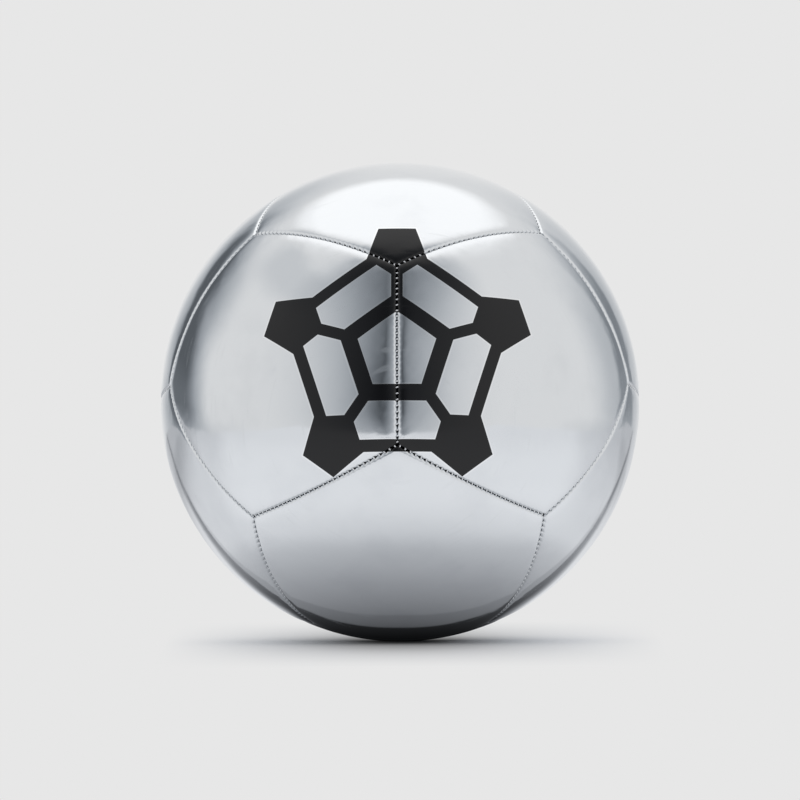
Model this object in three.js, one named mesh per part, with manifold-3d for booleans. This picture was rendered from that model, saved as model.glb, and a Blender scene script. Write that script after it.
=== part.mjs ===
import * as THREE from 'three';
import { mergeVertices } from 'three/addons/utils/BufferGeometryUtils.js';
import Module from 'manifold-3d';

// A mini soccer ball, sewn from twelve pentagonal panels like the faces of a dodecahedron.
// Each panel is a metallic skin over foam and a lining cloth, and its edges roll over and turn in
// as the lips of its seams. A hollow bladder with a needle valve keeps the ball tight.
// Millimetres, +Z up, origin at the ball's centre. It rests as seen from -Y, valve at the back.

// The ball
const ballRadius = 72.5;
const valveLean = 47.1;       // degrees between straight up and the valve, leaning towards +Y
const fitGap = 0.3;           // between pieces that touch

// Cover skin
const skinThickness = 0.8;
const foldRadius = 0.6;       // inside of the bend where the skin turns into a seam
const seamGap = 0.3;          // between the two lips of a seam
const seamDip = 0.3;          // how far the seam draws the skin down beside it

// Layers behind the skin
const foamThickness = 1.8;
const liningThickness = 0.5;
const bladderWall = 1;

// Seam thread
const threadRadius = 0.2;

// Valve
const stemRadius = 3.6;
const stemLength = 15;
const valveRecess = 0.2;      // valve face below the ball's surface
const flangeRadius = 9;
const flangeThickness = 1.2;
const plugRadius = 1.5;
const plugSetback = 1;        // from the stem's inner end
const needleRadius = 0.6;
const needleDepth = 5;
const patchRadius = 10;

// Facets
const skinSteps = 6;          // along each side of a panel, and from its side to its middle
const layerSteps = 3;
const threadSides = 5;
const valveSides = 24;

const silverSkin = new THREE.MeshStandardMaterial({ color: 0xd2d5d8, roughness: 0.3, metalness: 0.9 });
const whiteFoam = new THREE.MeshStandardMaterial({ color: 0xe8e6df, roughness: 0.95, metalness: 0 });
const greyCloth = new THREE.MeshStandardMaterial({ color: 0xb9bcbe, roughness: 0.9, metalness: 0 });
const greyThread = new THREE.MeshStandardMaterial({ color: 0xc4c7ca, roughness: 0.6, metalness: 0 });
const blackRubber = new THREE.MeshStandardMaterial({ color: 0x1b1b1d, roughness: 0.6, metalness: 0 });
const softRubber = new THREE.MeshStandardMaterial({ color: 0x34353a, roughness: 0.7, metalness: 0 });
const patchCloth = new THREE.MeshStandardMaterial({ color: 0x8d9093, roughness: 0.9, metalness: 0 });

// Depths below the ball's surface, from the skin inwards
const rollRadius = foldRadius + skinThickness;
const lipInset = seamGap / 2;
const skinEdge = lipInset + rollRadius;
const foamTop = skinThickness + fitGap;
const foamBottom = foamTop + foamThickness;
const liningTop = foamBottom + fitGap;
const liningBottom = liningTop + liningThickness;
const bladderOuter = ballRadius - liningBottom - fitGap;
const bladderInner = bladderOuter - bladderWall;

// Directions of the dodecahedron, with the middle of half A at +Z.
// Half B is half A turned inside out through the ball's centre.
const petals = [0, 1, 2, 3, 4];
const petalLean = Math.atan(2);         // from one panel's middle to the next
const cornerHalfAngle = Math.PI / 3;    // three panels share each corner
const wrap = (index) => (index + petals.length) % petals.length;
const middle = new THREE.Vector3(0, 0, 1);
const petalMiddles = petals.map((index) => {
  const azimuth = (2 * Math.PI * index) / petals.length - Math.PI / 2;
  return new THREE.Vector3(
    Math.sin(petalLean) * Math.cos(azimuth),
    Math.sin(petalLean) * Math.sin(azimuth),
    Math.cos(petalLean),
  );
});
const innerCorners = petals.map((index) =>
  middle.clone().add(petalMiddles[index]).add(petalMiddles[wrap(index + 1)]).normalize());
const outerCorners = petals.map((index) =>
  petalMiddles[index].clone().add(petalMiddles[wrap(index + 1)]).sub(petalMiddles[wrap(index + 3)])
    .normalize());

const opposite = (direction) => direction.clone().negate();

// The twelve panels, each with its corners anticlockwise as seen from outside
function ballPanels() {
  const panels = [];
  const addPanel = (name, corners) => {
    const centre = corners.reduce((sum, corner) => sum.add(corner), new THREE.Vector3()).normalize();
    panels.push({ name, corners, centre });
  };
  addPanel('a_middle', innerCorners);
  addPanel('b_middle', innerCorners.map(opposite).reverse());
  for (const index of petals) {
    const before = wrap(index - 1);
    const corners = [
      innerCorners[index],
      innerCorners[before],
      outerCorners[before],
      opposite(outerCorners[wrap(index + 2)]),
      outerCorners[index],
    ];
    addPanel(`a_petal_${index + 1}`, corners);
    addPanel(`b_petal_${index + 1}`, corners.map(opposite).reverse());
  }
  return panels;
}

// The point at a share of the way along one side of a panel, on the sphere of the given radius and
// at a set inset from the plane of that side's seam
function panelPoint({ corners, centre }, side, share, inset, radius) {
  const cornerPoint = (corner) => {
    const inwards = centre.clone().addScaledVector(corner, -centre.dot(corner)).normalize();
    const reach = inset / Math.sin(cornerHalfAngle);
    return corner.clone().multiplyScalar(Math.sqrt(radius ** 2 - reach ** 2))
      .addScaledVector(inwards, reach);
  };
  const start = corners[side];
  const end = corners[wrap(side + 1)];
  const seamNormal = start.clone().cross(end).normalize();
  const from = cornerPoint(start).addScaledVector(seamNormal, -inset);
  const to = cornerPoint(end).addScaledVector(seamNormal, -inset);
  const angle = from.angleTo(to);
  return from.multiplyScalar(Math.sin(angle * (1 - share)) / Math.sin(angle))
    .addScaledVector(to, Math.sin(angle * share) / Math.sin(angle))
    .addScaledVector(seamNormal, inset);
}

// Rings from the middle of a panel out to its edge; the middle itself is a ring of no sides
function dome(depth, edgeInset, edgeDepth, steps) {
  const rings = [{ steps: 0, depth }];
  for (let step = 1; step <= steps; step += 1) {
    const middleShare = 1 - step / steps;
    rings.push({ steps: step, depth: step < steps ? depth : edgeDepth, middleShare, edgeInset });
  }
  return rings;
}

// A closed solid from a chain of rings, from the middle of its outer face to that of its inner face
function panelSolid(panel, rings) {
  const positions = [];
  const faces = [];
  const seamNormal = panel.corners[0].clone().cross(panel.corners[1]).normalize();
  const middleInset = panel.centre.dot(seamNormal);
  const starts = rings.map((ring) => {
    const start = positions.length / 3;
    const radius = ballRadius - ring.depth;
    if (ring.steps === 0) {
      positions.push(...panel.centre.clone().multiplyScalar(radius));
      return start;
    }
    const reach = (middleInset * radius - ring.edgeInset) * (ring.middleShare ?? 0);
    for (let side = 0; side < panel.corners.length; side += 1) {
      for (let step = 0; step < ring.steps; step += 1) {
        const point = panelPoint(panel, side, step / ring.steps, ring.edgeInset + reach, radius);
        positions.push(...point);
      }
    }
    return start;
  });
  const vertex = (ring, side, step) => {
    const { steps } = rings[ring];
    if (steps === 0) return starts[ring];
    return starts[ring] + ((side * steps + step) % (panel.corners.length * steps));
  };
  for (let ring = 0; ring + 1 < rings.length; ring += 1) {
    const here = rings[ring].steps;
    const next = rings[ring + 1].steps;
    const shift = next < here ? 1 : 0;
    for (let side = 0; side < panel.corners.length; side += 1) {
      for (let step = 0; step < next; step += 1) {
        faces.push(
          vertex(ring + 1, side, step),
          vertex(ring + 1, side, step + 1),
          vertex(ring, side, step + shift),
        );
      }
      for (let step = 0; step < here; step += 1) {
        faces.push(
          vertex(ring, side, step),
          vertex(ring + 1, side, step + 1 - shift),
          vertex(ring, side, step + 1),
        );
      }
    }
  }
  const geometry = new THREE.BufferGeometry();
  geometry.setAttribute('position', new THREE.Float32BufferAttribute(positions, 3));
  geometry.setIndex(faces);
  return geometry;
}

// The skin: outer face, rolled edge, lip down into the seam, and back along the inside
function skinRings() {
  const halfRoll = Math.PI / 4;
  const edge = (edgeInset, depth) => ({ steps: skinSteps, edgeInset, depth });
  return [
    ...dome(0, skinEdge, seamDip, skinSteps),
    edge(lipInset + rollRadius * (1 - Math.sin(halfRoll)), seamDip + rollRadius * (1 - Math.cos(halfRoll))),
    edge(lipInset, seamDip + rollRadius),
    edge(lipInset, liningBottom),
    edge(lipInset + skinThickness, liningBottom),
    edge(lipInset + skinThickness, seamDip + rollRadius),
    ...dome(skinThickness, skinEdge, seamDip + skinThickness, skinSteps).reverse(),
  ];
}

// The foam fills the skin's dish up to where the skin begins to roll over
function foamRings() {
  const edgeInset = skinEdge + fitGap;
  return [
    ...dome(foamTop, edgeInset, seamDip + foamTop, layerSteps),
    ...dome(foamBottom, edgeInset, foamBottom, layerSteps).reverse(),
  ];
}

// The lining runs on to the seam's lips
function liningRings() {
  const edgeInset = lipInset + skinThickness + fitGap;
  return [
    ...dome(liningTop, edgeInset, liningTop, layerSteps),
    ...dome(liningBottom, edgeInset, liningBottom, layerSteps).reverse(),
  ];
}

// Solids that can be cut and joined, for the valve and the bladder's hollow
const wasm = await Module();
wasm.setup();
const weldDistance = 1e-4;

function toSolid(geometry) {
  const bare = geometry.clone();
  bare.deleteAttribute('normal');
  bare.deleteAttribute('uv');
  const merged = mergeVertices(bare, weldDistance);
  return new wasm.Manifold(new wasm.Mesh({
    numProp: 3,
    vertProperties: new Float32Array(merged.attributes.position.array),
    triVerts: new Uint32Array(merged.index.array),
  }));
}

function toGeometry(solid) {
  const { vertProperties, triVerts } = solid.getMesh();
  const geometry = new THREE.BufferGeometry();
  geometry.setAttribute('position', new THREE.BufferAttribute(vertProperties, 3));
  geometry.setIndex(new THREE.BufferAttribute(triVerts, 1));
  return geometry;
}

// A round bar along the valve's axis between two distances from the ball's centre
function valveBar(radius, from = 0, to = 2 * ballRadius) {
  const bar = new THREE.CylinderGeometry(radius, radius, to - from, valveSides);
  return toSolid(bar.rotateX(Math.PI / 2).translate(0, 0, (from + to) / 2));
}

// A ball's surface down to one depth, as twelve domes that meet at the seams
function sphereSolid(radius) {
  const depth = ballRadius - radius;
  const positions = [];
  for (const panel of ballPanels()) {
    const cap = panelSolid(panel, dome(depth, 0, depth, layerSteps)).toNonIndexed();
    positions.push(...cap.attributes.position.array);
  }
  const geometry = new THREE.BufferGeometry();
  geometry.setAttribute('position', new THREE.Float32BufferAttribute(positions, 3));
  return toSolid(geometry);
}

// A thread laid along a chain of points on the ball, with its section mitred at every bend
function threadTube(points, closed) {
  const positions = [];
  const faces = [];
  const last = points.length - 1;
  points.forEach((point, index) => {
    const before = points[closed ? (index + last) % points.length : Math.max(index - 1, 0)];
    const after = points[closed ? (index + 1) % points.length : Math.min(index + 1, last)];
    const back = point.clone().sub(before).normalize();
    const ahead = after.clone().sub(point).normalize();
    const tangent = back.clone().add(ahead).normalize();
    const mitre = tangent.dot(back.lengthSq() > 0 ? back : ahead);
    const side = tangent.clone().cross(point).normalize();
    const up = side.clone().cross(tangent);
    for (let spoke = 0; spoke < threadSides; spoke += 1) {
      const angle = (2 * Math.PI * spoke) / threadSides;
      positions.push(...point.clone()
        .addScaledVector(side, (threadRadius * Math.cos(angle)) / mitre)
        .addScaledVector(up, threadRadius * Math.sin(angle)));
    }
  });
  const vertex = (index, spoke) => (index % points.length) * threadSides + (spoke % threadSides);
  for (let index = 0; index < (closed ? points.length : last); index += 1) {
    for (let spoke = 0; spoke < threadSides; spoke += 1) {
      faces.push(vertex(index, spoke), vertex(index + 1, spoke), vertex(index + 1, spoke + 1));
      faces.push(vertex(index, spoke), vertex(index + 1, spoke + 1), vertex(index, spoke + 1));
    }
  }
  for (let spoke = 1; !closed && spoke + 1 < threadSides; spoke += 1) {
    faces.push(vertex(0, 0), vertex(0, spoke), vertex(0, spoke + 1));
    faces.push(vertex(last, 0), vertex(last, spoke + 1), vertex(last, spoke));
  }
  const geometry = new THREE.BufferGeometry();
  geometry.setAttribute('position', new THREE.Float32BufferAttribute(positions, 3));
  geometry.setIndex(faces);
  return geometry;
}

// A thread sits in the groove where the two rolled edges are one thread and two gaps apart
const threadReach = rollRadius + threadRadius + fitGap;
const threadDepth = seamDip + rollRadius - Math.sqrt(threadReach ** 2 - skinEdge ** 2);
const threadPath = ballRadius - threadDepth;

function seamArc(start, end) {
  const angle = start.angleTo(end);
  const points = [];
  for (let step = 0; step <= skinSteps; step += 1) {
    const along = (angle * step) / skinSteps;
    points.push(start.clone().multiplyScalar(Math.sin(angle - along) / Math.sin(angle))
      .addScaledVector(end, Math.sin(along) / Math.sin(angle))
      .multiplyScalar(threadPath));
  }
  return points;
}

function closedThread(corners) {
  const points = corners.flatMap((corner, index) =>
    seamArc(corner, corners[(index + 1) % corners.length]).slice(0, -1));
  return threadTube(points, true);
}

// A petal's thread stops short of the two threads that pass its ends
function petalThread(start, end) {
  const angle = start.angleTo(end);
  const trim = (threadRadius / Math.sin(cornerHalfAngle) + fitGap) / threadPath / angle;
  const from = start.clone().lerp(end, trim).normalize();
  const to = end.clone().lerp(start, trim).normalize();
  return threadTube(seamArc(from, to), false);
}

// The valve: a rubber tube through every layer, with a flange bonded to the inside of the bladder
const valveFace = ballRadius - valveRecess;
const stemEnd = valveFace - stemLength;
const flangeSeat = bladderInner - fitGap;

function stemSolid() {
  const flange = sphereSolid(flangeSeat).subtract(sphereSolid(flangeSeat - flangeThickness))
    .intersect(valveBar(flangeRadius));
  return valveBar(stemRadius, stemEnd, valveFace).add(flange).subtract(valveBar(plugRadius + fitGap));
}

// The plug closes the tube; its needle hole ends inside it, in rubber that closes again
function plugSolid() {
  return valveBar(plugRadius, stemEnd + plugSetback, valveFace)
    .subtract(valveBar(needleRadius, valveFace - needleDepth));
}

const ball = new THREE.Group();
ball.rotation.x = -THREE.MathUtils.degToRad(valveLean);

function addPiece(name, geometry, material) {
  const mesh = new THREE.Mesh(geometry, material);
  mesh.name = name;
  ball.add(mesh);
}

// Cover: skin, foam and lining of each panel, with the valve's hole through the middle of half A
const valveHole = valveBar(stemRadius + fitGap);
const patchHole = valveBar(patchRadius + fitGap);
for (const panel of ballPanels()) {
  const skin = panelSolid(panel, skinRings());
  const foam = panelSolid(panel, foamRings());
  const lining = panelSolid(panel, liningRings());
  const pierced = panel.name === 'a_middle';
  const cut = (geometry, hole) => (pierced ? toGeometry(toSolid(geometry).subtract(hole)) : geometry);
  addPiece(`cover_${panel.name}`, cut(skin, valveHole), silverSkin);
  addPiece(`foam_${panel.name}`, cut(foam, valveHole), whiteFoam);
  addPiece(`lining_${panel.name}`, cut(lining, patchHole), greyCloth);
  if (pierced) {
    const patch = toSolid(lining).intersect(valveBar(patchRadius)).subtract(valveHole);
    addPiece('valve_patch', toGeometry(patch), patchCloth);
  }
}

// Threads: a loop round the middle panel of each half, its five petal seams, and the closing seam
for (const [half, sign] of [['a', 1], ['b', -1]]) {
  const inner = innerCorners.map((corner) => corner.clone().multiplyScalar(sign));
  const outer = outerCorners.map((corner) => corner.clone().multiplyScalar(sign));
  addPiece(`thread_${half}_loop`, closedThread(inner), greyThread);
  for (const index of petals) {
    addPiece(`thread_${half}_petal_${index + 1}`, petalThread(inner[index], outer[index]), greyThread);
  }
}
const closingCorners = petals.flatMap((index) =>
  [opposite(outerCorners[wrap(index + 2)]), outerCorners[index]]);
addPiece('thread_closing', closedThread(closingCorners), greyThread);

// Bladder and valve
const bladder = sphereSolid(bladderOuter).subtract(sphereSolid(bladderInner)).subtract(valveHole);
addPiece('bladder', toGeometry(bladder), blackRubber);
addPiece('valve_stem', toGeometry(stemSolid()), blackRubber);
addPiece('valve_plug', toGeometry(plugSolid()), softRubber);

const part = new THREE.Group();
part.add(ball);

export default part;
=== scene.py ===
import math

import bmesh
import bpy
from mathutils import Matrix, Vector


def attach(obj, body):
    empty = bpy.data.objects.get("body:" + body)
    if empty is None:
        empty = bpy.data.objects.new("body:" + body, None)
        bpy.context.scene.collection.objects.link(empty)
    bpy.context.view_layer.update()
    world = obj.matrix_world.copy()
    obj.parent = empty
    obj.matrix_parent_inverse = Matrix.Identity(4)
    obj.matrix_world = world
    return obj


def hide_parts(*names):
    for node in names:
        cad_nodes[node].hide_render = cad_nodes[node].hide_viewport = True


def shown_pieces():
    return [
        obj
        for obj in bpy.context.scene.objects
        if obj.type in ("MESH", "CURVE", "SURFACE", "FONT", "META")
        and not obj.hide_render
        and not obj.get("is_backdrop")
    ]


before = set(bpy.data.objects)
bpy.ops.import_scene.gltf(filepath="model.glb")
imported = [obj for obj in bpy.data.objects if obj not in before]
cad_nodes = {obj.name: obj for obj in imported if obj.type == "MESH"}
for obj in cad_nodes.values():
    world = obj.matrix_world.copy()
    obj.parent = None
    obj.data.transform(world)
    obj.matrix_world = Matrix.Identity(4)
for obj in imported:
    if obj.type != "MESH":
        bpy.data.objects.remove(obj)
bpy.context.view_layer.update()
scene = bpy.context.scene
mm = 0.001


# The ball's pattern
# Twelve equal five-sided panels meet along thirty seams, three at every corner, as on a
# dodecahedron. The middle panel of half A carries the valve and leans back from straight up, and
# half B is half A turned through the ball's centre.
ball_radius = 72.5 * mm
valve_lean = math.radians(47.1)
petal_lean = math.atan(2)
petals = range(5)
fifth_turn = 2 * math.pi / 5


def petal_middle(index):
    """The middle of a panel next to the valve's, with the valve straight up."""
    turn = math.radians(72 * index - 90)
    out = math.sin(petal_lean)
    return Vector((out * math.cos(turn), out * math.sin(turn), math.cos(petal_lean)))


def placed(direction):
    """A direction of length one, leant back as the ball lies."""
    return (Matrix.Rotation(-valve_lean, 3, "X") @ direction).normalized()


middles = [petal_middle(index) for index in petals]
inner_corners = [
    placed(Vector((0, 0, 1)) + middles[i] + middles[(i + 1) % 5]) for i in petals
]
outer_corners = [
    placed(middles[i] + middles[(i + 1) % 5] - middles[(i + 3) % 5]) for i in petals
]
valve_axis = sum(inner_corners, Vector()).normalized()
half_seam = inner_corners[0].angle(inner_corners[1]) / 2

panel_corners = {"a_middle": inner_corners}
for i in petals:
    panel_corners[f"a_petal_{i + 1}"] = [
        inner_corners[i],
        inner_corners[i - 1],
        outer_corners[i - 1],
        -outer_corners[(i + 2) % 5],
        outer_corners[i],
    ]
for name, corners in list(panel_corners.items()):
    panel_corners[name.replace("a_", "b_")] = [-corner for corner in reversed(corners)]


# Cover panels
# Each is a glossy silver film on soft plastic, cut as a pentagon. Its edge rolls over and turns in,
# so that two panels meet lip to lip, and the stitches draw the lips down in small puckers.
skin_thickness = 0.8 * mm
lip_inset = 0.03 * mm
lip_depth = 3.7 * mm
roll_radius = 0.95 * mm
crown_drop = 0.12 * mm
crown_reach = 3 * mm
valve_radius = 3.6 * mm
valve_gap = 0.3 * mm
rim_rounding = 0.6 * mm
panel_half_width = math.acos(
    valve_axis.dot((inner_corners[0] + inner_corners[1]).normalized())
)
seam_stitches = 31
roll_start = math.atan(3 * crown_drop / crown_reach)
roll_edge = lip_inset + roll_radius * (1 - math.sin(roll_start))

panel_sizes = {
    "Ball radius": ball_radius,
    "Half width": panel_half_width,
    "Half seam": half_seam,
    "Skin thickness": skin_thickness,
    "Lip inset": lip_inset,
    "Lip depth": lip_depth,
    "Roll radius": roll_radius,
    "Crown drop": crown_drop,
    "Crown reach": crown_reach,
    "Stitches per seam": seam_stitches,
    "Pucker depth": 0.2 * mm,
    "Pucker opening": 0.2 * mm,
    "Pucker reach": 1.05 * mm,
    "Crease depth": 0.13 * mm,
    "Crease length": 9 * mm,
    "Wave depth": 0.5 * mm,
    "Seed": 0,
}


class Signal:
    """One output of a node. Python's operators on it add Math nodes to its tree."""

    def __init__(self, socket):
        self.socket = socket
        self.tree = socket.id_data

    @staticmethod
    def node(tree, kind, settings=(), inputs=(), output=0):
        """A new node, given its settings first and then a value or a signal for each input."""
        made = tree.nodes.new(kind)
        for name, value in dict(settings).items():
            setattr(made, name, value)
        for name, value in dict(inputs).items():
            if isinstance(value, Signal):
                tree.links.new(value.socket, made.inputs[name])
            else:
                made.inputs[name].default_value = value
        return Signal(made.outputs[output]) if len(made.outputs) else made

    def output(self, name):
        return Signal(self.socket.node.outputs[name])

    def math(self, operation, *values):
        inputs = enumerate((self, *values))
        return Signal.node(self.tree, "ShaderNodeMath", {"operation": operation}, inputs)

    def reflected(self, value, operation):
        inputs = enumerate((value, self))
        return Signal.node(self.tree, "ShaderNodeMath", {"operation": operation}, inputs)

    def __add__(self, other):
        return self.math("ADD", other)

    def __radd__(self, other):
        return self.reflected(other, "ADD")

    def __sub__(self, other):
        return self.math("SUBTRACT", other)

    def __rsub__(self, other):
        return self.reflected(other, "SUBTRACT")

    def __mul__(self, other):
        return self.math("MULTIPLY", other)

    def __rmul__(self, other):
        return self.reflected(other, "MULTIPLY")

    def __truediv__(self, other):
        return self.math("DIVIDE", other)

    def __rtruediv__(self, other):
        return self.reflected(other, "DIVIDE")

    def __pow__(self, other):
        return self.math("POWER", other)

    def clamp(self):
        return self.math("MAXIMUM", 0).math("MINIMUM", 1)

    def step(self, start, end):
        """0 up to start, 1 from end, and a smooth change between them."""
        return Signal.node(
            self.tree,
            "ShaderNodeMapRange",
            {"interpolation_type": "SMOOTHSTEP"},
            {"Value": self, "From Min": start, "From Max": end},
        )

    def dot(self, vector):
        """How far a vector signal reaches along a fixed direction."""
        settings = {"operation": "DOT_PRODUCT"}
        inputs = {0: self, 1: tuple(vector)}
        return Signal.node(self.tree, "ShaderNodeVectorMath", settings, inputs, "Value")

    def noise(self, **inputs):
        """A cloudy pattern from 0 to 1, at the place that a vector signal gives."""
        return Signal.node(self.tree, "ShaderNodeTexNoise", inputs={"Vector": self, **inputs})

    def blend(self, first, second):
        """The first colour where this signal is 0, the second where it is 1."""
        inputs = {"Factor": self, "A": first, "B": second}
        return Signal.node(self.tree, "ShaderNodeMix", {"data_type": "RGBA"}, inputs, "Result")


def form_tree(name, sizes):
    """A geometry tree with one named input for each size, and its Group Input."""
    tree = bpy.data.node_groups.new(name, "GeometryNodeTree")
    tree.interface.new_socket("Geometry", in_out="INPUT", socket_type="NodeSocketGeometry")
    for size, value in sizes.items():
        socket = tree.interface.new_socket(size, in_out="INPUT", socket_type="NodeSocketFloat")
        socket.default_value = value
    tree.interface.new_socket("Turn", in_out="INPUT", socket_type="NodeSocketRotation")
    tree.interface.new_socket("Finish", in_out="INPUT", socket_type="NodeSocketMaterial")
    tree.interface.new_socket("Geometry", in_out="OUTPUT", socket_type="NodeSocketGeometry")
    return tree, Signal.node(tree, "NodeGroupInput")


def finish_tree(tree, given, geometry):
    """Ends a tree: smooth faces, real meshes instead of instances, and the finish."""
    smooth = Signal.node(tree, "GeometryNodeSetShadeSmooth", inputs={"Geometry": geometry})
    real = Signal.node(tree, "GeometryNodeRealizeInstances", inputs={"Geometry": smooth})
    finished = Signal.node(
        tree,
        "GeometryNodeSetMaterial",
        inputs={"Geometry": real, "Material": given.output("Finish")},
    )
    Signal.node(tree, "NodeGroupOutput", inputs={"Geometry": finished})


def formed_piece(name, start, tree, values):
    """The mesh that a tree makes from a starting mesh, as a plain object of its own."""
    blank = bpy.data.objects.new(name + "_blank", start)
    scene.collection.objects.link(blank)
    modifier = blank.modifiers.new("form", "NODES")
    modifier.node_group = tree
    for socket in tree.interface.items_tree:
        if socket.name in values:
            modifier[socket.identifier] = values[socket.name]
    blank.update_tag()
    bpy.context.view_layer.update()
    depsgraph = bpy.context.evaluated_depsgraph_get()
    mesh = bpy.data.meshes.new_from_object(blank.evaluated_get(depsgraph))
    bpy.data.objects.remove(blank)
    mesh.name = name
    piece = bpy.data.objects.new(name, mesh)
    scene.collection.objects.link(piece)
    return piece


def panel_blank():
    """A panel's net of rings, outer face first, with each point's row, share, side and face.

    Rows run from 0 in the middle to 1 where the edge begins to roll, 2 at the roll's end and 3 at
    the lip's end. They lie closer towards the seam, and have half the points past each distance
    from it in halved_beyond.
    """
    points_per_stitch, dome_rows, roll_rows = 8, 28, 7
    growth = 1.09
    halved_beyond = 2.2 * mm, 5 * mm, 11 * mm
    full = seam_stitches * points_per_stitch
    dome_reach = ball_radius * math.sin(panel_half_width) - roll_edge
    rings = [(0, 0, 0)]
    for step in range(dome_rows - 1, -1, -1):
        middle_share = (growth**step - 1) / (growth**dome_rows - 1)
        reach = middle_share * dome_reach
        coarser = sum(reach > limit for limit in halved_beyond)
        rings.append((1 - middle_share, full >> coarser, 0))
    rings += [(1 + (step + 1) / roll_rows, full, 0) for step in range(roll_rows)]
    rings += [(2.35, full, 0), (3, full, 0), (3, full // 4, 1), (2, full // 8, 1)]
    rings += [(row, full // 8, 1) for row in (1.5, 1, 0.8, 0.6, 0.4, 0.2)]
    rings += [(0, 0, 1)]

    points, starts = [], []
    for row, steps, under in rings:
        starts.append(len(points))
        if steps == 0:
            points.append((row, 0, 0, under))
        for side in range(5 if steps else 0):
            for step in range(steps):
                points.append((row, 2 * step / steps - 1, side, under))

    def point(ring, side, step):
        steps = rings[ring][1]
        return starts[ring] + (side * steps + step) % (5 * steps) if steps else starts[ring]

    faces = []
    for ring in range(len(rings) - 1):
        here, there = rings[ring][1], rings[ring + 1][1]
        for side in petals:
            i = j = 0
            while i < here or j < there:
                spoke = point(ring, side, i), point(ring + 1, side, j)
                if j < there and (i == here or (j + 1) * here <= (i + 1) * there):
                    j += 1
                    faces.append((*spoke, point(ring + 1, side, j)))
                else:
                    i += 1
                    faces.append((*spoke, point(ring, side, i)))

    mesh = bpy.data.meshes.new("panel_blank")
    mesh.from_pydata([(row, share, side + under) for row, share, side, under in points], [], faces)
    for index, kind in enumerate(("row", "share", "side", "under")):
        attribute = mesh.attributes.new(kind, "FLOAT", "POINT")
        attribute.data.foreach_set("value", [float(values[index]) for values in points])
    return mesh


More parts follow.
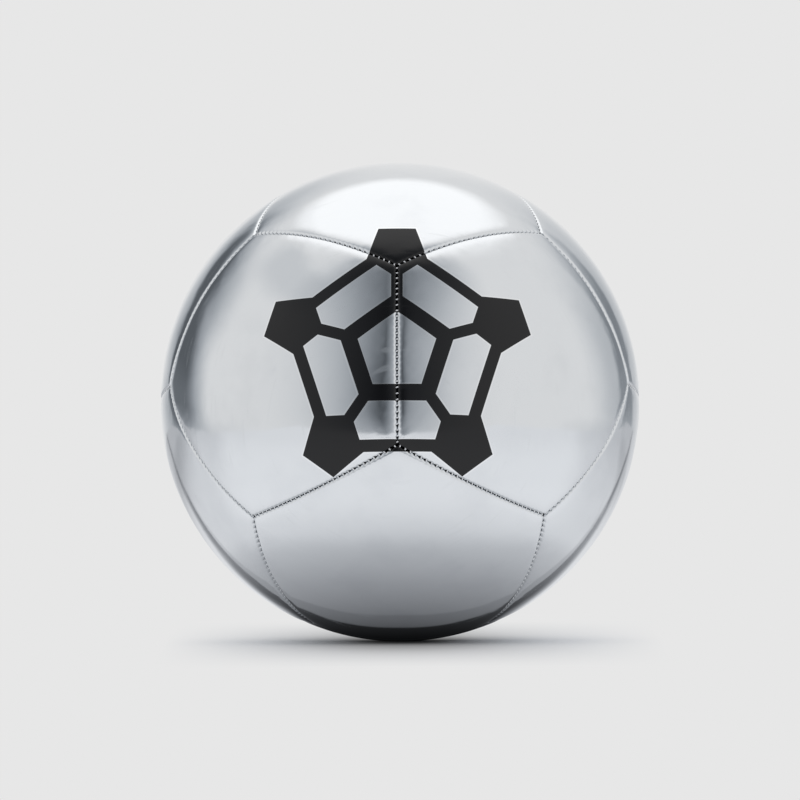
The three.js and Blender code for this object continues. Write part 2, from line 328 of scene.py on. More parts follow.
def panel_tree():
    """Lays a panel's net on the ball, first side towards +X, and turns each point to its side."""
    tree, given = form_tree("panel_form", panel_sizes)
    radius = given.output("Ball radius")
    thickness = given.output("Skin thickness")
    lip = given.output("Lip inset")
    roll = given.output("Roll radius")
    drop = given.output("Crown drop")
    reach = given.output("Crown reach")
    width = given.output("Half width")
    half = given.output("Half seam")
    sin_width, cos_width = width.math("SINE"), width.math("COSINE")

    def blank_value(name):
        settings = {"data_type": "FLOAT"}
        return Signal.node(tree, "GeometryNodeInputNamedAttribute", settings, {"Name": name})

    row, share, side, under = map(blank_value, ("row", "share", "side", "under"))
    outside = 1 - under
    dome_share = row.clamp()
    roll_share = (row - 1).clamp()
    lip_share = (row - 2).clamp()

    # where the net lies on the ball, before the seams draw it down
    slope = 3 * drop / reach
    start = slope.math("ARCTANGENT")
    edge = lip + roll * (1 - start.math("SINE"))
    layer = radius - under * thickness
    dome_inset = edge + (layer * sin_width - edge) * (1 - dome_share)

    def seam_angle(inset, span):
        """How far along the seam a point lies, as an angle at the ball's centre."""
        bevel = (inset / (span * math.sqrt(3))).math("ARCSINE")
        return share * (half - bevel).math("MAXIMUM", 0)

    def on_ball(inset, angle, far):
        """The place, with the first seam towards +X and the panel's middle straight up."""
        span = (far * far - inset * inset).math("SQRT")
        out, y = span * angle.math("COSINE"), span * angle.math("SINE")
        return out * sin_width - inset * cos_width, y, out * cos_width + inset * sin_width

    span = (radius * radius - dome_inset * dome_inset).math("SQRT")
    angle = seam_angle(dome_inset, span)
    x, y, z = on_ball(dome_inset, angle, radius)

    # the crown: every seam near a point draws it down, and their pulls add up smoothly
    def pull(turn):
        inwards = -math.cos(turn), -math.sin(turn)
        away = (x * inwards[0] + y * inwards[1]) * cos_width + z * sin_width
        return (1 - (away - edge) / reach).clamp()

    own = pull(0)
    pulls = own**6 + pull(fifth_turn) ** 6 + pull(-fifth_turn) ** 6
    sunk = drop * pulls.math("SQRT")

    # the rolled edge turns from the crown's slope to straight down, and the lip goes on from it
    begin = (slope * own * own).math("ARCTANGENT")
    tilt = begin + roll_share * (math.pi / 2 - begin)
    inset = dome_inset + roll * (begin.math("SINE") - tilt.math("SINE"))
    depth = sunk + roll * (begin.math("COSINE") - tilt.math("COSINE"))
    depth = depth + lip_share * (given.output("Lip depth") - drop - roll * start.math("COSINE"))
    inset = inset + under * thickness * tilt.math("SINE")
    depth = depth + under * thickness * tilt.math("COSINE")

    # puckers in step with the stitches
    phase = angle / half * given.output("Stitches per seam") * math.pi
    hold = (0.5 + 0.5 * phase.math("COSINE")) ** 2.5
    near = (1 - (inset - lip) / given.output("Pucker reach")).clamp() * outside
    inset = inset + given.output("Pucker opening") * hold * near * near * near
    depth = depth + given.output("Pucker depth") * hold * near * near

    # creases that run in from the seams, and a slow waviness of the whole panel
    turn = side * fifth_turn
    sine, cosine = turn.math("SINE"), turn.math("COSINE")
    place = {0: x * cosine - y * sine, 1: x * sine + y * cosine, 2: z}
    place = Signal.node(tree, "ShaderNodeCombineXYZ", inputs=place)
    whole = {"Scale": 65.0, "Detail": 3.0, "Roughness": 0.45, "Vector": place}
    whole["W"] = given.output("Seed")
    noise = {"noise_dimensions": "4D"}
    wave = Signal.node(tree, "ShaderNodeTexNoise", noise, whole) - 0.5
    creases_along, creases_across = 260, 45
    along = angle * radius * creases_along
    across = dome_inset * creases_across
    run = Signal.node(tree, "ShaderNodeCombineXYZ", inputs={0: along, 1: across, 2: side * 7})
    fold = {"Scale": 1.0, "Detail": 1.0, "Roughness": 0.4, "Vector": run}
    fold["W"] = given.output("Seed") + 31
    fold = Signal.node(tree, "ShaderNodeTexNoise", noise, fold) - 0.5
    fade = (1 - (dome_inset - edge) / given.output("Crease length")).clamp()
    fold = fold * fade * fade * (1 - share * share) * 0.6
    uneven = given.output("Crease depth") * fold
    uneven = uneven + given.output("Wave depth") * wave * (0.35 + 0.65 * fade)
    depth = depth + uneven * (1 - roll_share)

    # the final place, turned to this side of the panel and then to this panel of the ball
    far = radius - depth
    span = (far * far - inset * inset).math("SQRT")
    x, y, z = on_ball(inset, seam_angle(inset, span), far)
    place = {0: x * cosine - y * sine, 1: x * sine + y * cosine, 2: z}
    place = Signal.node(tree, "ShaderNodeCombineXYZ", inputs=place)
    shaped = {"Geometry": given, "Position": place}
    shaped = Signal.node(tree, "GeometryNodeSetPosition", inputs=shaped)
    turned = {"Geometry": shaped, "Rotation": given.output("Turn")}
    turned = Signal.node(tree, "GeometryNodeTransform", inputs=turned)
    finish_tree(tree, given, turned)
    return tree


silver = (0.78, 0.8, 0.82, 1)
dull_silver = (0.7, 0.72, 0.745, 1)
border_highlight_silver = (0.86, 0.875, 0.89, 1)
ink = (0.004, 0.004, 0.005, 1)


def started_material(name):
    """A new material without nodes, its tree, and the place on the piece as a signal."""
    material = bpy.data.materials.new(name)
    material.use_nodes = True
    tree = material.node_tree
    tree.nodes.clear()
    return material, tree, Signal.node(tree, "ShaderNodeTexCoord", output="Object")


def end_material(tree, bump, shine):
    """Ends a material with a bump and a Principled shader, from their inputs."""
    shine["Normal"] = Signal.node(tree, "ShaderNodeBump", inputs=bump)
    shine = Signal.node(tree, "ShaderNodeBsdfPrincipled", inputs=shine)
    Signal.node(tree, "ShaderNodeOutputMaterial", inputs={"Surface": shine})


def film_material():
    """Silver film with fine marks, and the black print on the ball's front."""
    material, tree, place = started_material("silver_film")

    # the print: a pentagon outline with a bar to each of five pentagons, joined in a ring of bars
    print_lean = math.radians(15.38)
    across = place.dot((1, 0, 0))
    up = place.dot((0, math.sin(print_lean), math.cos(print_lean)))
    front = place.dot((0, -math.cos(print_lean), math.sin(print_lean)))
    away = (across * across + up * up).math("SQRT")
    turn = across.math("ARCTAN2", up).math("PINGPONG", fifth_turn / 2)
    a, b = away * turn.math("COSINE"), away * turn.math("SINE")
    cos_36, sin_36 = math.cos(fifth_turn / 2), math.sin(fifth_turn / 2)
    bar = 3.3 * mm
    outer_radius, outer_middle = 9 * mm, 30.6 * mm
    centre_middle, centre_stroke = 11.6 * mm, 4.6 * mm
    ink_blur = 0.05 * mm
    border_start, border_end = 0.3 * mm, 0.45 * mm
    mitre = a * cos_36 + b * sin_36
    beside = b * cos_36 - a * sin_36
    centre = (mitre - centre_middle).math("ABSOLUTE") - centre_stroke / 2
    spoke = (b - bar / 2).math("MAXIMUM", a - outer_middle)
    spoke = spoke.math("MAXIMUM", centre_middle / cos_36 - a)
    flats = [
        (a - outer_middle) * math.cos(flat) + b * math.sin(flat)
        for flat in (0, fifth_turn, 2 * fifth_turn)
    ]
    outer_pentagon = flats[0].math("MAXIMUM", flats[1]).math("MAXIMUM", flats[2])
    outer_pentagon = outer_pentagon - outer_radius * cos_36
    tip = outer_middle - outer_radius * math.cos(fifth_turn)
    tip_out = outer_radius * math.sin(fifth_turn)
    bar_out = tip * cos_36 + tip_out * sin_36
    bar_end = tip * sin_36 - tip_out * cos_36
    ring_bar = (mitre - bar_out + bar / 2).math("ABSOLUTE") - bar / 2
    ring_bar = ring_bar.math("MAXIMUM", -1 * beside - bar_end - bar)
    shape = centre.math("MINIMUM", spoke).math("MINIMUM", outer_pentagon)
    shape = shape.math("MINIMUM", ring_bar)
    on_front = front.step(0, 1 * mm)
    printed = shape.step(ink_blur, -ink_blur) * on_front
    # the raised border round the print, which also carries a painted highlight
    raised_highlit_border = shape.step(border_end, border_start) * on_front

    # handling marks: soft smudges, and short thin rubs in two directions
    smudge = place.noise(Scale=55, Detail=4, Roughness=0.55)
    rubs = []
    for turn, seed in ((0.5, 0), (-0.9, 7)):
        lay = {"Vector": place, "Rotation": (turn, turn, 0.3), "Scale": (90, 1600, 90)}
        lay["Location"] = (seed, 0, 0)
        lay = Signal.node(tree, "ShaderNodeMapping", inputs=lay)
        rubs.append(lay.noise(Scale=1, Detail=0).step(0.73, 0.8))
    marks = rubs[0].math("MAXIMUM", rubs[1])

    # the film's drawn grain lies level round the ball, in long fine streaks
    drawn = {"Vector": place, "Scale": (14, 14, 420)}
    drawn = Signal.node(tree, "ShaderNodeMapping", inputs=drawn)
    drawn = drawn.noise(Scale=1, Detail=3, Roughness=0.6)
    grain = place.noise(Scale=1400, Detail=1)
    height = grain * 0.3 + marks * 0.15 + drawn * 1.5 + raised_highlit_border * 1.2 + printed
    bump = {"Height": height, "Strength": 0.25, "Distance": 0.01 * mm}

    # the ink stands out black, between raised borders whose lighter colour is a painted highlight
    colour = (smudge.step(0.46, 0.72) * 0.45).blend(silver, dull_silver)
    colour = raised_highlit_border.blend(colour, border_highlight_silver)
    shine = {
        "Base Color": printed.blend(colour, ink),
        "Metallic": 1 - printed,
        "Roughness": 0.085 + (smudge - 0.5) * 0.12 + marks * 0.13 + printed * 0.05,
        "IOR": 1.43,
        "Coat Weight": 0.3 * (1 - printed),
        "Coat Roughness": 0.05,
    }
    end_material(tree, bump, shine)
    return material


def arc(middle, radius, start, end, steps):
    """Points of an outline on a round stretch, by its angles in degrees."""
    turns = [math.radians(start + (end - start) * k / steps) for k in range(steps + 1)]
    return [(middle[0] + radius * math.cos(t), middle[1] + radius * math.sin(t)) for t in turns]


def open_valve_hole(panel):
    """Leads both faces of a panel into a round hole in its middle, with a soft rim."""
    cut_rows = 0.19
    upright = valve_axis.rotation_difference(Vector((0, 0, 1))).to_matrix().to_4x4()
    form = bmesh.new()
    form.from_mesh(panel.data)
    form.transform(upright)
    row, under = (form.verts.layers.float[name] for name in ("row", "under"))
    middle = [vertex for vertex in form.verts if vertex[row] < cut_rows]
    bmesh.ops.delete(form, geom=middle, context="VERTS")
    around = [vertex for vertex in form.verts if vertex.is_boundary]
    around.sort(key=lambda vertex: math.atan2(vertex.co.y, vertex.co.x))
    outer, inner = ([vertex for vertex in around if vertex[under] == face] for face in (0, 1))

    hole = valve_radius + valve_gap
    rim = hole + rim_rounding
    outer_far, inner_far = (sum(v.co.length for v in ring) / len(ring) for ring in (outer, inner))

    def lead(edge, start, far, share):
        """A ring part of the way from the round rim to the edge that was left."""
        ring = []
        for vertex in edge:
            out = vertex.co.xy.length
            reach = start + (out - start) * share
            rise = far + (vertex.co.length - far) * share * share * (3 - 2 * share)
            side = vertex.co.xy * (reach / out)
            ring.append(form.verts.new((*side, math.sqrt(rise * rise - reach * reach))))
        return ring

    rings = [outer] + [lead(outer, rim, outer_far, share) for share in (0.8, 0.6, 0.4, 0.2, 0)]
    top = math.sqrt(outer_far * outer_far - rim * rim)
    turned = arc((rim, top - rim_rounding), rim_rounding, 90, 180, 8)[1:]
    turned.append((hole, math.sqrt(inner_far * inner_far - hole * hole)))
    for reach, height in turned:
        sides = [vertex.co.xy * (reach / vertex.co.xy.length) for vertex in outer]
        rings.append([form.verts.new((*side, height)) for side in sides])
    rings += [lead(inner, hole, inner_far, share) for share in (0.3, 0.65)] + [inner]
    for here, there in zip(rings, rings[1:]):
        for k in range(len(here)):
            face = form.faces.new((here[k - 1], here[k], there[k], there[k - 1]))
            face.smooth = True
    bmesh.ops.recalc_face_normals(form, faces=form.faces)
    form.transform(upright.inverted())
    form.to_mesh(panel.data)
    form.free()
    panel.data.set_sharp_from_angle(angle=math.radians(60))


silver_film = film_material()
blank = panel_blank()
form = panel_tree()
panel_turns = {}
for seed, (name, corners) in enumerate(panel_corners.items()):
    up = sum(corners, Vector()).normalized()
    out = (corners[0] + corners[1]).normalized()
    out = (out - up * out.dot(up)).normalized()
    turn = Matrix((out, up.cross(out), up)).transposed()
    panel_turns[name] = turn
    values = {"Seed": seed * 3.7, "Turn": turn.to_euler(), "Finish": silver_film}
    panel = formed_piece("panel_" + name, blank, form, values)
    if name == "a_middle":
        open_valve_hole(panel)
    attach(panel, "root")
    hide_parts("cover_" + name)


# Seam stitches
# One grey polyester thread runs down every seam inside the ball. Where it crosses from lip to lip
# it shows as a short round bar at the bottom of a pucker.
thread_radius, thread_sides = 0.23 * mm, 6
thread_grey, thread_painted_shade = (0.93, 0.94, 0.95, 1), (0.74, 0.75, 0.77, 1)
stitch_sizes = {
    "Ball radius": ball_radius,
    "Half seam": half_seam,
    "Stitches per seam": seam_stitches,
    "Thread radius": thread_radius,
    "Stitch reach": 0.46 * mm,
    "Stitch rise": 0.05 * mm,
    "Stitch depth": 0.52 * mm,
    "Crown drop": crown_drop,
    "Crown reach": crown_reach,
    "Roll edge": roll_edge,
    "Slant": math.radians(14),
    "Seed": 5,
}


def seam_lines():
    """The thirty seams as straight edges between the twenty corners."""
    apart = 0.01
    corners, edges = [], set()
    for around in panel_corners.values():
        for start, end in zip(around, around[1:] + around[:1]):
            pair = []
            for corner in (start, end):
                near = [i for i, known in enumerate(corners) if (known - corner).length < apart]
                if not near:
                    corners.append(corner)
                pair.append(near[0] if near else len(corners) - 1)
            edges.add((min(pair), max(pair)))
    mesh = bpy.data.meshes.new("seam_lines")
    mesh.from_pydata([corner * ball_radius for corner in corners], sorted(edges), [])
    return mesh


def stitch_tree(seams):
    """Sets bowed bars of thread along a number of seams, across each seam and a little aslant."""
    tree, given = form_tree("seam_stitches", stitch_sizes)
    count = given.output("Stitches per seam")
    half = given.output("Half seam")
    spots = Signal.node(tree, "GeometryNodePoints", inputs={"Count": count * seams})
    index = Signal.node(tree, "GeometryNodeInputIndex")
    seam = ((index + 0.5) / count).math("FLOOR")
    share = (index - seam * count + 0.5) / count

    def seam_end(position):
        ends = Signal.node(tree, "GeometryNodeInputMeshEdgeVertices", output=position)
        settings = {"data_type": "FLOAT_VECTOR", "domain": "EDGE"}
        inputs = {"Geometry": given, "Value": ends, "Index": seam}
        return Signal.node(tree, "GeometryNodeSampleIndex", settings, inputs)

    def vector(operation, first, second, output="Vector"):
        inputs = {0: first, 1: second} if operation != "SCALE" else {0: first, "Scale": second}
        settings = {"operation": operation}
        return Signal.node(tree, "ShaderNodeVectorMath", settings, inputs, output)

    start, end = seam_end("Position 1"), seam_end("Position 2")
    from_start = vector("SCALE", start, ((1 - share) * half * 2).math("SINE"))
    from_end = vector("SCALE", end, (share * half * 2).math("SINE"))
    outwards = vector("NORMALIZE", vector("ADD", from_start, from_end), (0, 0, 0))
    along = vector("SUBTRACT", end, start)

    # the corners sink deeper, as the panels' crowns do
    corner = (0.5 - (share - 0.5).math("ABSOLUTE")) * half * 2 * given.output("Ball radius")
    away = corner * math.sin(math.pi / 3) - given.output("Roll edge")
    pull = (1 - away / given.output("Crown reach")).clamp()
    sunk = given.output("Crown drop") * (1 + pull**6).math("SQRT")
    height = given.output("Ball radius") - sunk - given.output("Stitch depth")
    place = {"Geometry": spots, "Position": vector("SCALE", outwards, height)}
    spots = Signal.node(tree, "GeometryNodeSetPosition", inputs=place)

    upright = {"axis": "Z"}
    upright = Signal.node(tree, "FunctionNodeAlignRotationToVector", upright, {"Vector": outwards})
    turned = {"axis": "X", "pivot_axis": "Z"}
    inputs = {"Rotation": upright, "Vector": along}
    turned = Signal.node(tree, "FunctionNodeAlignRotationToVector", turned, inputs)
    swing = {"Min": -0.15, "Max": 0.15, "Seed": given.output("Seed")}
    swing = Signal.node(tree, "FunctionNodeRandomValue", {"data_type": "FLOAT"}, swing, 1)
    swing = Signal.node(tree, "ShaderNodeCombineXYZ", inputs={2: swing + given.output("Slant")})
    swing = Signal.node(tree, "FunctionNodeEulerToRotation", inputs={"Euler": swing})
    settings = {"rotation_space": "LOCAL"}
    inputs = {"Rotation": turned, "Rotate By": swing}
    turned = Signal.node(tree, "FunctionNodeRotateRotation", settings, inputs)

    reach, rise = given.output("Stitch reach"), given.output("Stitch rise")
    ends = [
        Signal.node(tree, "ShaderNodeCombineXYZ", inputs={1: reach * side, 2: -2 * rise})
        for side in (-1, 1)
    ]
    top = Signal.node(tree, "ShaderNodeCombineXYZ", inputs={2: 2 * rise})
    bow = {"Resolution": 4, "Start": ends[0], "Middle": top, "End": ends[1]}
    bow = Signal.node(tree, "GeometryNodeCurveQuadraticBezier", inputs=bow)
    section = {"Resolution": thread_sides, "Radius": given.output("Thread radius")}
    section = Signal.node(tree, "GeometryNodeCurvePrimitiveCircle", inputs=section)
    stitch = {"Curve": bow, "Profile Curve": section, "Fill Caps": True}
    stitch = Signal.node(tree, "GeometryNodeCurveToMesh", inputs=stitch)
    sewn = {"Points": spots, "Instance": stitch, "Rotation": turned}
    sewn = Signal.node(tree, "GeometryNodeInstanceOnPoints", inputs=sewn)
    finish_tree(tree, given, sewn)
    return tree


def thread_material():
    """Twisted polyester: pale grey, a little sheen, and a fine lay of plies."""
    material, tree, place = started_material("seam_thread")
    plies = place.noise(Scale=5200, Detail=2)
    # painted shade darkens the low places between the plies
    colour = plies.blend(thread_painted_shade, thread_grey)
    bump = {"Height": plies, "Strength": 0.4, "Distance": 0.05 * mm}
    end_material(tree, bump, {"Base Color": colour, "Roughness": 0.5, "Sheen Weight": 0.3})
    return material


seams = seam_lines()
values = {"Finish": thread_material()}
stitches = formed_piece("seam_stitches", seams, stitch_tree(len(seams.edges)), values)
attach(stitches, "root")
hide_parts(*(name for name in cad_nodes if name.startswith("thread_")))


# Foam backings
# A sheet of soft off-white foam is glued behind each cover panel. It is cut from sheet, and its
# fine closed cells show on every face.
foam_white = (0.88, 0.87, 0.84, 1)
cell_painted_shade = (0.7, 0.69, 0.65, 1)


def foam_material():
    """Closed cells of two sizes, each with a thin raised wall, and painted shade in their hollows.
    """
    material, tree, place = started_material("foam")
    cells = {"Vector": place, "Scale": 1900.0, "Randomness": 0.9}
    cells = Signal.node(tree, "ShaderNodeTexVoronoi", inputs=cells, output="Distance")
    pits = {"Vector": place, "Scale": 620.0, "Randomness": 1.0}
    pits = Signal.node(tree, "ShaderNodeTexVoronoi", inputs=pits, output="Distance")
    depth = cells.step(0, 0.7) * 0.6 + pits.step(0, 0.35) * 0.4
    cloudy = place.noise(Scale=90, Detail=3)
    # painted shade darkens the cells' hollows
    colour = (depth * 0.85 + cloudy * 0.2).blend(cell_painted_shade, foam_white)
    bump = {"Height": depth, "Strength": 0.6, "Distance": 0.1 * mm}
    end_material(tree, bump, {"Base Color": colour, "Roughness": 0.9})
    return material


foam = foam_material()
for name in panel_corners:
    cad_nodes["foam_" + name].material_slots[0].material = foam


# Lining cloths
# Behind the foam lies a plain-woven cloth of polyester and cotton. It keeps the panel from
# stretching, and its threads lie square to the first seam of their panel.
lining_pitch = 0.45 * mm
lining_light, lining_painted_shade = (0.74, 0.75, 0.76, 1), (0.48, 0.49, 0.5, 1)


def cloth_material(name, turn, pitch, light, dark):
    """A plain weave in the frame of a panel: two sets of threads go over and under in turn."""
    material, tree, place = started_material(name)
    lay = {"Vector": place, "Rotation": turn.transposed().to_euler()}
    lay = Signal.node(tree, "ShaderNodeMapping", inputs=lay)
    along = lay.dot((math.pi / pitch, 0, 0)).math("SINE")
    across = lay.dot((0, math.pi / pitch, 0)).math("SINE")
    over = (along * across).step(-0.2, 0.2)
    threads = along.math("ABSOLUTE") * over + across.math("ABSOLUTE") * (1 - over)
    slub = lay.noise(Scale=900, Detail=2)
    # painted shade darkens the weave's low places between the threads
    colour = (threads * 0.75 + slub * 0.3).blend(dark, light)
    bump = {"Height": threads + slub * 0.3, "Strength": 0.8, "Distance": 0.12 * mm}
    end_material(tree, bump, {"Base Color": colour, "Roughness": 0.85, "Sheen Weight": 0.15})
    return material


for name, turn in panel_turns.items():
    cloth = cloth_material("lining_" + name, turn, lining_pitch, lining_light, lining_painted_shade)
    cad_nodes["lining_" + name].material_slots[0].material = cloth


# Bladder
# A black rubber bladder holds the air. It is moulded in two halves, which leave a low ridge round
# its middle, and it is dusted with talc so that it slides inside the lining.
bladder_outer, bladder_inner = 68.5 * mm, 67.5 * mm
bladder_hole = 3.9 * mm
ridge_height, ridge_half = 0.15 * mm, 0.8 * mm


def valve_turned(name, outline, sides):
    """A closed solid of revolution about the valve's axis.

    Its outline's points are (distance from the axis, height above the ball's centre).
    """
    form = bmesh.new()
    rings = []
    for radius, far in outline:
        turns = [2 * math.pi * k / sides for k in range(sides if radius else 1)]
        points = [(radius * math.cos(turn), radius * math.sin(turn), far) for turn in turns]
        rings.append([form.verts.new(point) for point in points])
    for here, there in zip(rings, rings[1:] + rings[:1]):
        for k in range(sides if len(here) + len(there) > 2 else 0):
            around = (here, k), (here, k + 1), (there, k + 1), (there, k)
            form.faces.new(dict.fromkeys(ring[j % len(ring)] for ring, j in around))
    bmesh.ops.recalc_face_normals(form, faces=form.faces)
    form.transform(Vector((0, 0, 1)).rotation_difference(valve_axis).to_matrix().to_4x4())
    for face in form.faces:
        face.smooth = True
    mesh = bpy.data.meshes.new(name)
    form.to_mesh(mesh)
    form.free()
    mesh.set_sharp_from_angle(angle=math.radians(50))
    piece = bpy.data.objects.new(name, mesh)
    scene.collection.objects.link(piece)
    return piece


def rubber_material(name, colour, dust, roughness, grain_size):
    """Moulded rubber with a fine grain, and paler where dust has settled."""
    material, tree, place = started_material(name)
    cloudy = place.noise(Scale=110, Detail=5, Roughness=0.65)
    grain = place.noise(Scale=1 / grain_size, Detail=2)
    settled = cloudy.step(0.42, 0.72) * grain.step(0.3, 0.7)
    bump = {"Height": grain, "Strength": 0.35, "Distance": 0.04 * mm}
    shine = {"Base Color": settled.blend(colour, dust), "Roughness": roughness + settled * 0.2}
    end_material(tree, bump, shine)
    return material


ridge = [
    (math.hypot(bladder_outer, rise) + ridge_height * (1 - (rise / ridge_half) ** 2), rise)
    for rise in (ridge_half * share for share in (1, 0.5, 0, -0.5, -1))
]
rim = [math.degrees(math.acos(bladder_hole / radius)) for radius in (bladder_outer, bladder_inner)]
outline = arc((0, 0), bladder_outer, rim[0], 2, 44) + ridge
outline += arc((0, 0), bladder_outer, -2, -90, 46)[:-1] + [(0, -bladder_outer)]
outline += [(0, -bladder_inner)] + arc((0, 0), bladder_inner, -90, rim[1], 92)[1:]
bladder = valve_turned("rubber_bladder", outline, 96)
bladder_rubber = rubber_material(
    "bladder_rubber",
    colour=(0.05, 0.05, 0.055, 1),
    dust=(0.15, 0.15, 0.155, 1),
    roughness=0.6,
    grain_size=0.4 * mm,
)
bladder.data.materials.append(bladder_rubber)
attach(bladder, "root")
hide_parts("bladder")


# Valve
# A moulded rubber stem stands in the middle panel of half A. Its flange is bonded inside the
# bladder, its rim lies just below the panel's skin, and a plug of softer rubber closes its bore
# round a needle hole. A rubbered cloth patch is let into the lining round it.
valve_face = ball_radius - 0.2 * mm
stem_end = valve_face - 15 * mm
bore_radius, bore_round = 1.7 * mm, 0.3 * mm
stem_round, stem_fillet, foot_fillet = 0.5 * mm, 0.2 * mm, 0.7 * mm
flange_radius, flange_outer, flange_inner = 9 * mm, 67.2 * mm, 66 * mm
plug_radius, plug_round, plug_foot_round = 1.65 * mm, 0.15 * mm, 0.4 * mm
needle_radius, needle_depth, needle_lead = 0.5 * mm, 5 * mm, 0.6 * mm
patch_pitch = 0.3 * mm
patch_light, patch_painted_shade = (0.5, 0.51, 0.52, 1), (0.33, 0.34, 0.35, 1)


def on_sphere(radius, outs):
    """Points of an outline on a sphere about the ball's centre, by distance from the axis."""
    return [(out, math.sqrt(radius * radius - out * out)) for out in outs]


flange_round = (flange_outer - flange_inner) / 2
flange_steps = [stem_round / 2 + valve_radius + k * mm for k in range(5)]
outline = arc((bore_radius + bore_round, valve_face - bore_round), bore_round, 180, 90, 4)
outline += arc((valve_radius - stem_round, valve_face - stem_round), stem_round, 90, 0, 8)
outline += [(valve_radius, flange_outer + stem_fillet)]
outline += on_sphere(flange_outer, flange_steps)
flange_rim = on_sphere(flange_outer - flange_round, [flange_radius - flange_round])[0]
outline += arc(flange_rim, flange_round, 83, -97, 8)
outline += on_sphere(flange_inner, reversed(flange_steps))
outline += [(valve_radius + stem_fillet / 2, flange_inner - foot_fillet / 2)]
outline += [(valve_radius, flange_inner - foot_fillet)]
outline += arc((valve_radius - stem_round, stem_end + stem_round), stem_round, 0, -90, 6)
outline += arc((bore_radius + bore_round, stem_end + bore_round), bore_round, -90, -180, 4)
stem = valve_turned("valve_stem_piece", outline, 72)
stem_rubber = rubber_material(
    "valve_rubber",
    colour=(0.035, 0.035, 0.037, 1),
    dust=(0.07, 0.07, 0.072, 1),
    roughness=0.42,
    grain_size=0.3 * mm,
)
stem.data.materials.append(stem_rubber)
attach(stem, "root")
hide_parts("valve_stem")

plug_face = valve_face - 0.1 * mm
plug_end = stem_end + 1 * mm
needle_end = plug_face - needle_depth
outline = [(0, needle_end), (needle_radius * 0.7, needle_end)]
outline += [(needle_radius, needle_end + needle_lead / 2)]
outline += arc((needle_radius + needle_lead, plug_face - needle_lead), needle_lead, 180, 90, 8)
outline += arc((plug_radius - plug_round, plug_face - plug_round), plug_round, 90, 0, 3)
foot = plug_radius - plug_foot_round, plug_end + plug_foot_round
outline += arc(foot, plug_foot_round, 0, -90, 5)
outline += [(0, plug_end)]
plug = valve_turned("valve_plug_piece", outline, 48)
plug_rubber = rubber_material(
    "plug_rubber",
    colour=(0.085, 0.085, 0.095, 1),
    dust=(0.13, 0.13, 0.135, 1),
    roughness=0.7,
    grain_size=0.2 * mm,
)
plug.data.materials.append(plug_rubber)
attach(plug, "root")
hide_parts("valve_plug")

turn = panel_turns["a_middle"]
cloth = cloth_material("patch_cloth", turn, patch_pitch, patch_light, patch_painted_shade)
cad_nodes["valve_patch"].material_slots[0].material = cloth


# Floor, light and camera
# A pale sheet under the ball in a white tent, with a wide soft light overhead and the camera's dark
# gap in front. To the camera the sheet and the surroundings are one even pale grey.
pale = 0.799
floor_light, tent_light = 0.87, 0.83
floor_half = 0.45
floor_level = min(vertex.co.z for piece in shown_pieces() for vertex in piece.data.vertices)

floor_mesh = bpy.data.meshes.new("floor")
floor_points = [(x, y, floor_level) for x, y in ((-1, -1), (1, -1), (1, 1), (-1, 1))]
floor_points = [(x * floor_half, y * floor_half, z) for x, y, z in floor_points]
floor_mesh.from_pydata(floor_points, [], [(0, 1, 2, 3)])
floor = bpy.data.objects.new("floor", floor_mesh)
scene.collection.objects.link(floor)

# places on the sheet count in ball radii from the point under the ball
floor_paint, tree, place = started_material("floor_paint")
sideways = place.dot((1, 0, 0)) / ball_radius
ahead = place.dot((0, 1, 0)) / ball_radius
away = (sideways * sideways + ahead * ahead).math("SQRT")

# what the camera sees: an even glow, through which the painted sheet shows with its real shading
# where the ball's wide low shadow lies, as much as a painted shape lets it. A narrow darker streak
# runs along its middle, and the paint is black at the ball, a painted contact shadow.
contact_shadow_stretch = 1.49
shadow_half, shadow_depth, streak_depth = 1.05, 0.62, 0.15
flattened = (sideways * sideways / contact_shadow_stretch**2 + ahead * ahead).math("SQRT")
# painted contact shadow: the paint is black under the ball and pale from a little way out
albedo = 0.97 * flattened.step(0.05, 0.2)
forward = ahead + 0.12
wide = (1 - ((sideways - 0.05).math("ABSOLUTE") / shadow_half) ** 2.5).clamp() ** 1.2
deep = 0.83 * (1 - forward.math("ABSOLUTE") / shadow_depth).clamp() ** 1.3
deep = deep + 0.28 * (1 - (forward - 0.06).math("ABSOLUTE") / streak_depth).clamp() ** 1.3
even = (1 - wide * deep).clamp()
# the paint is a little blue, a painted tint of the shadow, which is the only place it shows
shade = {"Red": 0.92 * albedo, "Green": 0.95 * albedo, "Blue": albedo}
shade = Signal.node(tree, "ShaderNodeCombineColor", inputs=shade)
paint = Signal.node(tree, "ShaderNodeBsdfDiffuse", inputs={"Color": shade})

# what the ball sees: a sheet that glows with painted light, unlit by the lamps. Painted shade
# darkens it towards the ball, it is brightest two to three radii out, and dimmer on the side away
# from the camera
spread = ((1.15 * sideways) ** 2 + ahead * ahead).math("SQRT")
lit = floor_light * (1 - (-1 * (spread / 1.02) ** 1.9).math("EXPONENT"))
lit = lit * (1 - 0.045 * away.step(0.5, 0.75) + 0.13 * away.step(1, 1.25))
lit = lit * (1 - 0.06 * away.step(1.4, 2.4))
lit = lit * (1 - 0.14 * ahead.step(-0.8, 0.2) * away.step(1, 1.6))

# and a painted shadow of the ball behind a crisp curved edge: a band that runs out to each side,
# past which the sheet is lit again, and a strip straight behind the ball
past_edge = ahead + 0.365 - 0.54 * sideways.math("ABSOLUTE") ** 1.7
shadow = past_edge.step(-0.01, 0.01) * (0.5 + 0.38 * away.step(1, 0.2))
lit = lit * (1 - shadow) * (1 - 0.18 * past_edge.step(-0.13, -0.11))
lit_again = past_edge.step(0.1, 0.6) * sideways.math("ABSOLUTE").step(0.3, 0.65)
lit = lit * (1 - lit_again) + 0.8 * lit_again


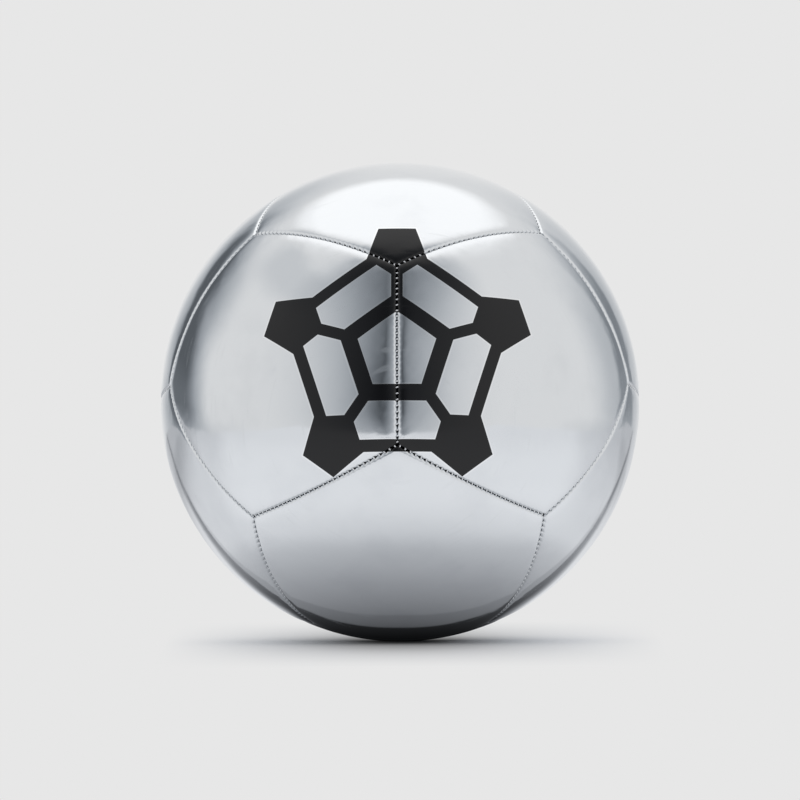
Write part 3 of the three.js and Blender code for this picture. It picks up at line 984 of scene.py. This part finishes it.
def tent_gaps(around, start):
    """How dark the tent's gaps beside its back wall are, by the way round in degrees.

    Each gap is a wide soft dip with a narrower dark core. The left one begins at start.
    """

    def dip(depth, begins, deepens, recovers, ends):
        return 1 - depth * around.step(begins, deepens) * around.step(ends, recovers)

    left = dip(0.58, start, -128, -146, -180) * dip(0.65, -123, -133, -149, -157)
    right = dip(0.33, 98, 126, 150, 175) * dip(0.54, 126.5, 132.5, 147, 151)
    return 1 - left, 1 - right


# painted reflections of the gaps: their dim images on the sheet, a little towards the sides of the
# gaps themselves. They grow stronger with distance, and fainter again far behind the ball.
around = sideways.math("ARCTAN2", -1 * ahead) * (180 / math.pi) + 7 * sideways / away
left, right = tent_gaps(around, -106)
painted_gap_images = 0.45 * away.step(1.2, 4) + 0.08 * away.step(4.5, 6.5)
lit = lit * (1 - painted_gap_images * (1 - 0.4 * ahead.step(2.6, 4)) * (left + right))
lit = lit * (1 - 0.065 * away.step(2.5, 5.5))

# the sheet's painted light is bluer where it is dim, and plain grey to the camera
seen = Signal.node(tree, "ShaderNodeLightPath", output="Is Camera Ray")
tint = (lit / floor_light).blend((0.95, 0.985, 1.06, 1), (0.985, 0.997, 1.02, 1))
tint = seen.blend(tint, (1, 1, 1, 1))
glow = {"Color": tint, "Strength": seen * pale + (1 - seen) * lit}
glow = Signal.node(tree, "ShaderNodeEmission", inputs=glow)
mixed = {0: 1 - seen * (1 - even), 1: paint, 2: glow}
mixed = Signal.node(tree, "ShaderNodeMixShader", inputs=mixed)
Signal.node(tree, "ShaderNodeOutputMaterial", inputs={"Surface": mixed})
floor_mesh.materials.append(floor_paint)
floor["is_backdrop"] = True

world = bpy.data.worlds.new("light_tent")
world.use_nodes = True
scene.world = world
tree = world.node_tree
tree.nodes.clear()
seen = Signal.node(tree, "ShaderNodeLightPath", output="Is Camera Ray")
way = Signal.node(tree, "ShaderNodeTexCoord", output="Generated")
way_x, way_y, way_z = (way.dot(axis) for axis in ((1, 0, 0), (0, 1, 0), (0, 0, 1)))
height = way_z.math("ARCSINE") * (180 / math.pi)
around = way_x.math("ARCTAN2", -1 * way_y) * (180 / math.pi)

# the light overhead: a soft-edged oval on a level ceiling, in shares of the ceiling's height
oval_wide, oval_deep, oval_ahead = 0.65, 0.64, 0.44
rise = way_z.math("MAXIMUM", 0.02)
overhead = (way_x / rise / oval_wide) ** 2 + ((way_y / rise - oval_ahead) / oval_deep) ** 2
overhead = overhead.math("SQRT").step(1.2, 0.7)

# the gap that the camera looks through, wide and soft low down, and narrower with a firm edge
# higher up
tall = way_z * way_z
gap = ((way_x + 0.12 - 0.1 * tall) / (0.97 - 0.55 * tall)).math("ABSOLUTE")
gap = (1 - gap).clamp() ** (2 - 1.9 * tall)
gap = gap * way_y.step(-0.1, -0.4) * height.step(-32, 2)

# the gaps beside the back wall. The left one leans forward as it comes down, and its front side
# is softer higher up. Both are fainter below the horizon and fade out above, where the left wall
# has a dim stretch.
lean = 8 * height.step(20, 9) - 0.27 * (height - 9).math("MINIMUM", 0)
leaning = around - lean * around.step(0, -1)
left, right = tent_gaps(leaning, -111 + 14 * height.step(9, 22))
low = 0.45 + 0.48 * height.step(-11, -3) + 0.07 * height.step(-1, 7)
left = 1 - left * height.step(46, 22) * low
right = 1 - right * height.step(46, 10) * low
high = height.step(36, 46) * height.step(60, 53)
left = left * (1 - 0.17 * high * around.step(-45, -70) * around.step(-128, -106))

tent = tent_light + 0.36 * overhead - 0.1 * height.step(-5, -9) * way_y.step(-0.3, 0.3)
tent = tent * left * right - (0.75 - 0.12 * tall) * gap
tent = tent.math("MAXIMUM", 0.08)
dim = (1 - tent / tent_light).clamp() * (1 - seen)
tint = dim.blend((1, 1, 1, 1), (0.88, 0.98, 1.1, 1))
light = {"Color": tint, "Strength": seen * pale + (1 - seen) * tent}
light = Signal.node(tree, "ShaderNodeBackground", inputs=light)
Signal.node(tree, "ShaderNodeOutputWorld", inputs={"Surface": light})

# the camera stands far back, a little to the right and above. The ball is as wide in the picture
# as ball_across, and its middle lies below the picture's by ball_drop, both in picture points.
camera_distance = 11.4 * ball_radius
camera_side, camera_height = math.radians(0.63), math.radians(3.98)
camera_roll = math.radians(-0.34)
picture_across, ball_across, ball_drop = 800, 479, 2
camera_data = bpy.data.cameras.new("camera")
camera_data.sensor_width = 36
ball_slope = 1 / math.sqrt((camera_distance / ball_radius) ** 2 - 1)
camera_data.lens = camera_data.sensor_width * (ball_across / picture_across) / 2 / ball_slope
camera = bpy.data.objects.new("camera", camera_data)
back = Vector((
    math.sin(camera_side) * math.cos(camera_height),
    -math.cos(camera_side) * math.cos(camera_height),
    math.sin(camera_height),
))
camera.location = back * camera_distance
drop_slope = ball_drop / picture_across * camera_data.sensor_width / camera_data.lens
look_up = Matrix.Rotation(math.atan(drop_slope), 4, "X")
facing = back.to_track_quat("Z", "Y").to_matrix().to_4x4()
roll = Matrix.Rotation(camera_roll, 4, "Z")
camera.matrix_world = Matrix.Translation(camera.location) @ facing @ look_up @ roll
scene.collection.objects.link(camera)
scene.camera = camera
scene.view_settings.view_transform = "Standard"
